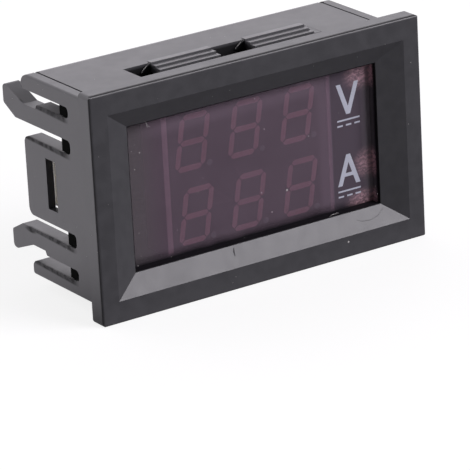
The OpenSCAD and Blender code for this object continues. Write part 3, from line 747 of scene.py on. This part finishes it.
class METER_OT_board(bpy.types.Operator):
    """Finish the circuit board, its headers and metal parts"""

    bl_idname = "meter.board"
    bl_label = "Board"

    def execute(self, context):
        looks = context.scene.meter_board
        clothe(masked_board(looks), "circuit_board")
        # Natural nylon: milky, so that light spreads through its thin walls.
        clothe(
            plain_resin("natural_nylon", looks.nylon, 0.4, 1.2, spread=0.04, Subsurface_Weight=0.9,
                        Subsurface_Radius=(1, 0.95, 0.85), Subsurface_Scale=1.3 * MM),
            "supply_header", "load_header",
        )
        # Tin plate: bright, with streaks along the pin. Manganin wire: dull copper, drawn along its length.
        tin = plain_metal("bright_tin", hex_colour("d9d8d2"), 0.26, 0.3, (1, 0.2, 1))
        clothe(
            tin, "supply_pins", "load_pins", "display_pins", "microcontroller_leads", "amplifier_leads",
            "regulator_leads",
        )
        clothe(plain_metal("drawn_manganin", hex_colour("c08f6a"), 0.34, 0.2, (1, 1, 0.15)), "current_shunt")
        return {"FINISHED"}


class METER_OT_parts(bpy.types.Operator):
    """Finish the chips, capacitors, resistors and trimmers, and plate the small chips' ends"""

    bl_idname = "meter.parts"
    bl_label = "Board parts"

    def execute(self, context):
        # Filled epoxy: near black and grainy. The amber resin is glossier, and glaze makes the film shine.
        clothe(
            plain_resin("moulding_compound", hex_colour("1d1d1f"), 0.52, 0.25, bump=0.012),
            "microcontroller", "amplifier", "voltage_regulator", "protection_diode",
        )
        clothe(plain_resin("amber_resin", hex_colour("c88a32"), 0.36, 0.6), "input_capacitor")
        clothe(plain_resin("glazed_film", hex_colour("18181b"), 0.2, 0.3), "chip_resistors")
        # Fired ceramics: dry, pale and a little mottled. Turned brass is yellow, with fine streaks of gloss.
        clothe(plain_resin("tan_ceramic", hex_colour("b1936c"), 0.5, 0.3), "chip_capacitors")
        alumina = plain_resin("alumina", hex_colour("d9d2c0"), 0.5, 0.5)
        clothe(alumina, "volt_trimmer_base", "amp_trimmer_base")
        brass = plain_metal("turned_brass", hex_colour("d6b266"), 0.3, 0.2)
        clothe(brass, "volt_trimmer_rotor", "amp_trimmer_rotor")
        self.end_caps(context.scene.meter_board)
        return {"FINISHED"}

    def end_caps(self, looks):
        """The plated ends of every small chip."""
        bm = bmesh.new()
        skin, length = looks.cap_skin, looks.cap_length
        for name in ("chip_resistors", "chip_capacitors"):
            for low, high in solids(name):
                for z0, z1 in ((low.z - skin, low.z + length), (high.z - length, high.z + skin)):
                    near, far = (low.x - skin, BOARD_BACK, z0), (high.x + skin, high.y + skin, z1)
                    add_box(bm, near, far, looks.cap_bevel)
        tin = plain_metal("plated_ends", hex_colour("cfcec8"), 0.38, 0.15)
        new_piece("chip_end_caps", bm, tin)


# How far each package's leads reach past its body, in millimetres.
LEAD_REACH = {"microcontroller": 1.0, "amplifier": 1.05, "voltage_regulator": 0.8}


class METER_OT_solder(bpy.types.Operator):
    """Add the solder round every pin and lead, and the outlines printed on the board"""

    bl_idname = "meter.solder"
    bl_label = "Solder"

    def execute(self, context):
        looks = context.scene.meter_board
        # Solder that froze smooth: bright, with a soft bloom.
        solder = plain_metal("bright_solder", hex_colour("cbcbc8"), 0.22, 0.5)
        bm = bmesh.new()
        for name, face, way in (
            ("display_pins", BOARD_BACK, 1), ("supply_pins", BOARD_FRONT, -1), ("load_pins", BOARD_FRONT, -1),
            ("current_shunt", BOARD_FRONT, -1),
        ):
            for centre, pin_r in self.pins(name):
                self.joint(bm, looks, Vector((centre.x, face, centre.z)), pin_r, way)
        new_piece("solder_joints", bm, solder)
        bm = bmesh.new()
        for name in ("microcontroller_leads", "amplifier_leads", "regulator_leads"):
            middle = sum(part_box(name), Vector()).z / 2
            for low, high in solids(name):
                self.lead_fillet(bm, looks, low, high, 1 if low.z + high.z > 2 * middle else -1)
        new_piece("lead_solder", bm, solder)
        self.outlines(looks)
        return {"FINISHED"}

    def pins(self, name):
        """The centre and half width of each pin where it passes the board."""
        if name != "current_shunt":
            return [((low + high) / 2, (high.x - low.x) / 2) for low, high in solids(name)]
        low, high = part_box(name)
        r = (high.x - low.x) / 2
        return [(Vector(((low.x + high.x) / 2, 0, z)), r) for z in (low.z + r, high.z - r)]

    def joint(self, bm, looks, centre, pin_r, way):
        """A concave cone of solder round a pin."""
        height = way * looks.joint_height
        # Shares of the reach and of the height, from the foot up.
        rings = [(1, 0.0), (0.97, 0.1), (0.55, 0.3), (0.22, 0.62), (0.06, 1.0)]
        profile = [(0, 0)] + [(pin_r + looks.joint_reach * r, height * h) for r, h in rings]
        add_turned(bm, centre, profile + [(0, height)])

    def lead_fillet(self, bm, looks, low, high, way):
        """A small bead of solder at the toe of a lead."""
        toe = high.z if way > 0 else low.z
        bead = looks.bead
        low_z, high_z = sorted((toe - way * 2.2 * bead, toe + way * 2 * bead))
        side = bead / 2
        add_box(
            bm, (low.x - side, BOARD_BACK, low_z), (high.x + side, BOARD_BACK + bead, high_z), 0.45 * bead
        )

    def outlines(self, looks):
        """White outlines printed round the larger parts."""
        bm = bmesh.new()
        width, gap = looks.line_w, looks.line_gap
        for name in (
            "supply_header", "load_header", "microcontroller", "amplifier", "voltage_regulator",
            "input_capacitor", "protection_diode", "volt_trimmer_base", "amp_trimmer_base",
        ):
            low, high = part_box(name)
            leads = LEAD_REACH.get(name, 0) * MM
            x0, x1 = low.x - gap, high.x + gap
            z0, z1 = low.z - gap - leads, high.z + gap + leads
            for corner, far in (
                ((x0 - width, z0 - width), (x0, z1 + width)), ((x1, z0 - width), (x1 + width, z1 + width)),
                ((x0, z0 - width), (x1, z0)), ((x0, z1), (x1, z1 + width)),
            ):
                low_x, high_x = max(corner[0], BOARD[0].x), min(far[0], BOARD[1].x)
                low_z, high_z = max(corner[1], BOARD[0].z), min(far[1], BOARD[1].z)
                if high_x > low_x and high_z > low_z:
                    add_box(bm, (low_x, BOARD_BACK, low_z), (high_x, BOARD_BACK + looks.line_t, high_z))
        white = plain_resin("screen_print", looks.screen, 0.6, 0.3, spread=0.05, bump=0.002)
        new_piece("board_outlines", bm, white)


# Grains (x, z, radius), lint and hairs (width, points) and the pale strands across the finger openings (left
# ends, then points from there), in millimetres as the front is read. The strands are painted highlight on the
# webs' edges.
GRAINS = ((4.23, -4.1, 0.17), (1.9, -6.4, 0.09), (-16.6, 5.6, 0.09), (12.07, -12.44, 0.16))
LINT = (
    (0.045, ((10.3, -9.08), (10.8, -8.95), (11.3, -8.9), (11.8, -8.93))),
    (0.025, ((-15.8, 9.5), (-15.4, 9.05), (-15.2, 8.6), (-14.9, 8.5))),
    (0.02, ((-15.3, 9.1), (-15.4, 8.7), (-15.2, 8.4))),
)
HAIRS = (
    (0.035, ((14.0, -10.2), (14.7, -10.5), (16.0, -10.62), (17.27, -10.36), (18.38, -9.68))),
    (0.1, ((-4.1, -9.5), (-4.25, -9.9), (-4.3, -10.35))),
)
HIGHLIGHT_LEFT_ENDS = (-10.25, 3.45)
HIGHLIGHT_PATH = ((0, 12.2), (0.5, 12.62), (1.05, 13.03))
HIGHLIGHT_WIDTH, HIGHLIGHT_DEPTH = 0.1, 7.72


class METER_OT_wear(bpy.types.Operator):
    """Scatter dust over the front, side and top, lay lint and hairs, and pale strands of painted highlight"""

    bl_idname = "meter.wear"
    bl_label = "Dust and hairs"

    def execute(self, context):
        looks = context.scene.meter_wear
        bm, dirt = bmesh.new(), bmesh.new()
        draw = random.Random(7)
        low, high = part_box("housing")
        for axis, count in ((1, looks.specks), (0, looks.side_specks), (2, looks.top_specks)):
            way = Vector([float(i == axis) for i in range(3)]) * (-1 if axis == 2 else 1)
            for _ in range(count):
                start = Vector([draw.uniform(low[i], high[i]) * 0.97 for i in range(3)])
                self.speck(bm, draw, start, way, draw.uniform(0.03, 0.07) * MM)
        for x, z, size in GRAINS:
            self.speck(bm, draw, Vector((x, 0, z)) * MM, Vector((0, 1, 0)), size * MM)
        for width, points in LINT:
            self.thread(bm, points, width)
        # Painted highlight: pale strands across the finger openings, for the bright edges of the webs there.
        for left in HIGHLIGHT_LEFT_ENDS:
            self.thread(bm, [(left + x, z) for x, z in HIGHLIGHT_PATH], HIGHLIGHT_WIDTH, HIGHLIGHT_DEPTH)
        # Lint is matt and pale, as are the strands, which are painted highlight; the hairs are dull and dark.
        new_piece("dust", bm, plain_resin("lint_and_highlight", looks.dust, 0.8, 0.1))
        for width, points in HAIRS:
            self.thread(dirt, points, width)
        new_piece("hairs", dirt, plain_resin("dark_fibre", looks.hair, 0.6, 0.1))
        return {"FINISHED"}

    def speck(self, bm, draw, start, way, size):
        """One flattened grain on the first surface that a ray meets."""
        place = first_surface(start, way)
        if place is None:
            return
        made = bmesh.ops.create_icosphere(bm, subdivisions=1, radius=size)
        turn = Euler([draw.uniform(0, math.tau) for _ in range(3)]).to_matrix().to_4x4()
        for vert in made["verts"]:
            vert.co *= draw.uniform(0.6, 1.1)
        bmesh.ops.transform(bm, matrix=turn, verts=made["verts"])
        flat = [0.4 if abs(c) > 0.5 else 1.0 for c in way]
        bmesh.ops.scale(bm, vec=flat, verts=made["verts"])
        bmesh.ops.translate(bm, vec=place, verts=made["verts"])

    def thread(self, bm, points, width, depth=None):
        """A fibre through (x, z) points in millimetres, at a depth or on the front, thin at both ends."""
        sides, flatness = 6, 0.7
        path, last = [], None
        for one, other in zip(points, points[1:]):
            path += [Vector(one).lerp(Vector(other), i / 4) for i in range(4)]
        path.append(Vector(points[-1]))
        for i, (x, z) in enumerate(path):
            centre = front_at(x * MM, z * MM) if depth is None else Vector((x, depth, z)) * MM
            r = width / 2 * MM * (0.35 + 0.65 * math.sin(math.pi * (i + 0.5) / len(path)))
            ahead = (path[min(i + 1, len(path) - 1)] - path[max(i - 1, 0)]).normalized()
            across = Vector((-ahead.y, 0, ahead.x))
            turn = Matrix((Vector((0, -flatness, 0)), across, Vector((ahead.x, 0, ahead.y)))).transposed()
            made = bmesh.ops.create_circle(
                bm, segments=sides, radius=r, cap_ends=i in (0, len(path) - 1),
                matrix=Matrix.Translation(centre) @ turn.to_4x4(),
            )
            ring = list(dict.fromkeys(e for v in made["verts"] for e in v.link_edges))
            if last:
                bmesh.ops.bridge_loops(bm, edges=last + ring)
            last = ring


def front_at(x, z):
    """The place on the meter's front at (x, z), which bridges the narrow gap round the window."""
    reach = 0.12 * MM
    hits = [first_surface(Vector((x, 0, z + d)), Vector((0, 1, 0))) for d in (-reach, 0, reach)]
    return Vector((x, min(hit.y for hit in hits if hit), z))


def first_surface(start, way):
    """Where a ray from outside the meter, passing start, first meets the housing or the window."""
    outside = start - way * 0.05
    hits = []
    for name in ("housing", "filter_window"):
        found, place, _, _ = NODES[name].ray_cast(outside, way)
        if found:
            hits.append(place)
    return min(hits, key=lambda place: (place - outside).length) if hits else None


# How brightly gloss shows the studio: from and to a place or direction, and the level at each. The paper
# brightens from in front of the meter to behind it and at its left, in millimetres, and the wall to the back.
PAPER_BACK = (-14, 27, 0, 1.09)
PAPER_LEFT = (-32, -24, 0.2, 0)
WALL = (-0.2, 0.6, 0.065, 1.45)


class METER_OT_stage(bpy.types.Operator):
    """Set the camera, the floor, the lights and the world"""

    bl_idname = "meter.stage"
    bl_label = "Studio"

    def execute(self, context):
        looks = context.scene.meter_studio
        self.camera(context, looks)
        self.floor(context, looks)
        self.world(context, looks)
        self.lamps(context, looks)
        context.scene.view_settings.view_transform = "Standard"
        return {"FINISHED"}

    def camera(self, context, looks):
        """A long lens to the left and above, leaning a little."""
        turn, lift, lean = looks.azimuth, looks.elevation, looks.roll
        back = Vector((
            math.sin(turn) * math.cos(lift), -math.cos(turn) * math.cos(lift), math.sin(lift)
        ))
        level = Vector((math.cos(turn), math.sin(turn), 0))
        upright = back.cross(level)
        right = level * math.cos(lean) + upright * math.sin(lean)
        up = upright * math.cos(lean) - level * math.sin(lean)
        data = bpy.data.cameras.new("camera")
        data.lens = looks.lens
        data.sensor_width = 36
        data.clip_start = 0.01
        camera = bpy.data.objects.new("camera", data)
        context.scene.collection.objects.link(camera)
        turned = Matrix((right, up, back)).transposed().to_4x4()
        place = right * looks.aside + up * looks.above + back * looks.distance
        camera.matrix_world = Matrix.Translation(place) @ turned
        context.scene.camera = camera

    def floor(self, context, looks):
        """A pale floor that shows white round the meter, and keeps its faint shadow."""
        bm = bmesh.new()
        bmesh.ops.create_grid(bm, x_segments=1, y_segments=1, size=looks.floor_reach)
        bmesh.ops.translate(bm, verts=bm.verts, vec=(0, 0, CAD_BOX[0][2]))
        mesh = bpy.data.meshes.new("floor")
        bm.to_mesh(mesh)
        bm.free()
        floor = bpy.data.objects.new("floor", mesh)
        context.scene.collection.objects.link(floor)
        material, add, at = new_material("studio_paper")
        rays, seen = self.rays(add)
        place = add("SeparateXYZ", at).outputs
        behind = add("MapRange", place["Y"], *PAPER_BACK, interpolation_type="SMOOTHSTEP")
        beside = add("MapRange", place["X"], *PAPER_LEFT)
        mirrored = product(add, rays["Is Glossy Ray"], add("Math", behind, beside, operation="ADD"))
        colour = add("Mix", seen, looks.tint, WHITE, data_type="RGBA")
        glow = add("Emission", colour, highest(add, product(add, seen, looks.floor_glow), mirrored))
        lit = add("AddShader", add("BsdfDiffuse", looks.floor), glow)
        add("OutputMaterial", add("MixShader", rays["Is Glossy Ray"], lit, glow))
        mesh.materials.append(material)

    def rays(self, add):
        """The kinds of ray, and those of them that see the studio as plain white."""
        rays = add("LightPath").outputs
        return rays, highest(add, rays["Is Camera Ray"], rays["Is Transmission Ray"])

    def world(self, context, looks):
        """White to the camera, white behind the meter in reflections, and soft to everything else."""
        world = bpy.data.worlds.new("studio")
        context.scene.world = world
        world.use_nodes = True
        world.node_tree.nodes.clear()
        add = functools.partial(add_node, world.node_tree)
        rays, seen = self.rays(add)
        depth = add("SeparateXYZ", add("TexCoord").outputs["Generated"]).outputs["Y"]
        mirrored = product(add, rays["Is Glossy Ray"], add("MapRange", depth, *WALL))
        soft = add("MapRange", depth, 0.1, 0.7, looks.ambient, looks.backdrop)
        colour = add("Mix", seen, looks.tint, WHITE, data_type="RGBA")
        add("OutputWorld", add("Background", colour, highest(add, soft, seen, mirrored)))

    def lamps(self, context, looks):
        """One large softbox in front to the right and above, and one low strip from behind."""
        for name, way, reach, size, level in (
            ("key_softbox", (0.57, -0.67, 0.50), 0.9, 0.65, looks.key),
            ("back_strip", (-0.42, 0.78, 0.46), 0.6, 0.3, looks.key * 0.03),
        ):
            data = bpy.data.lights.new(name, "AREA")
            data.shape = "SQUARE"
            data.size = size
            data.energy = level * math.pi * size ** 2
            data.color = looks.tint[:3]
            lamp = bpy.data.objects.new(name, data)
            context.scene.collection.objects.link(lamp)
            way = Vector(way).normalized()
            turn = way.to_track_quat("Z", "Y").to_matrix().to_4x4()
            lamp.matrix_world = Matrix.Translation(way * reach) @ turn


OPERATORS = (
    METER_OT_stage, METER_OT_housing, METER_OT_window, METER_OT_signs, METER_OT_display, METER_OT_board,
    METER_OT_parts, METER_OT_solder, METER_OT_wear,
)


class METER_PT_looks(bpy.types.Panel):
    """The meter's looks, with a button for each step"""

    bl_idname = "METER_PT_looks"
    bl_label = "Panel Meter Looks"
    bl_space_type = "VIEW_3D"
    bl_region_type = "UI"
    bl_category = "Meter"

    def draw(self, context):
        for operator in OPERATORS:
            self.layout.operator(operator.bl_idname)
        for name, kind in SETTINGS.items():
            box = self.layout.box()
            box.label(text=kind.__name__)
            for setting in kind.__annotations__:
                if setting != "patches":
                    box.prop(getattr(context.scene, name), setting)


CLASSES = (AdhesionPatch, *SETTINGS.values(), *OPERATORS, METER_PT_looks)


def register():
    """Registers the classes and hangs the settings on the scene."""
    for cls in CLASSES:
        bpy.utils.register_class(cls)
    for name, kind in SETTINGS.items():
        setattr(bpy.types.Scene, name, bpy.props.PointerProperty(type=kind))


def unregister():
    """Takes the settings and the classes away again."""
    for name in SETTINGS:
        delattr(bpy.types.Scene, name)
    for cls in reversed(CLASSES):
        bpy.utils.unregister_class(cls)


def main():
    """Dresses the meter step by step."""
    register()
    for operator in OPERATORS:
        getattr(bpy.ops.meter, operator.bl_idname.split(".")[1])()


if __name__ == "__main__":
    main()
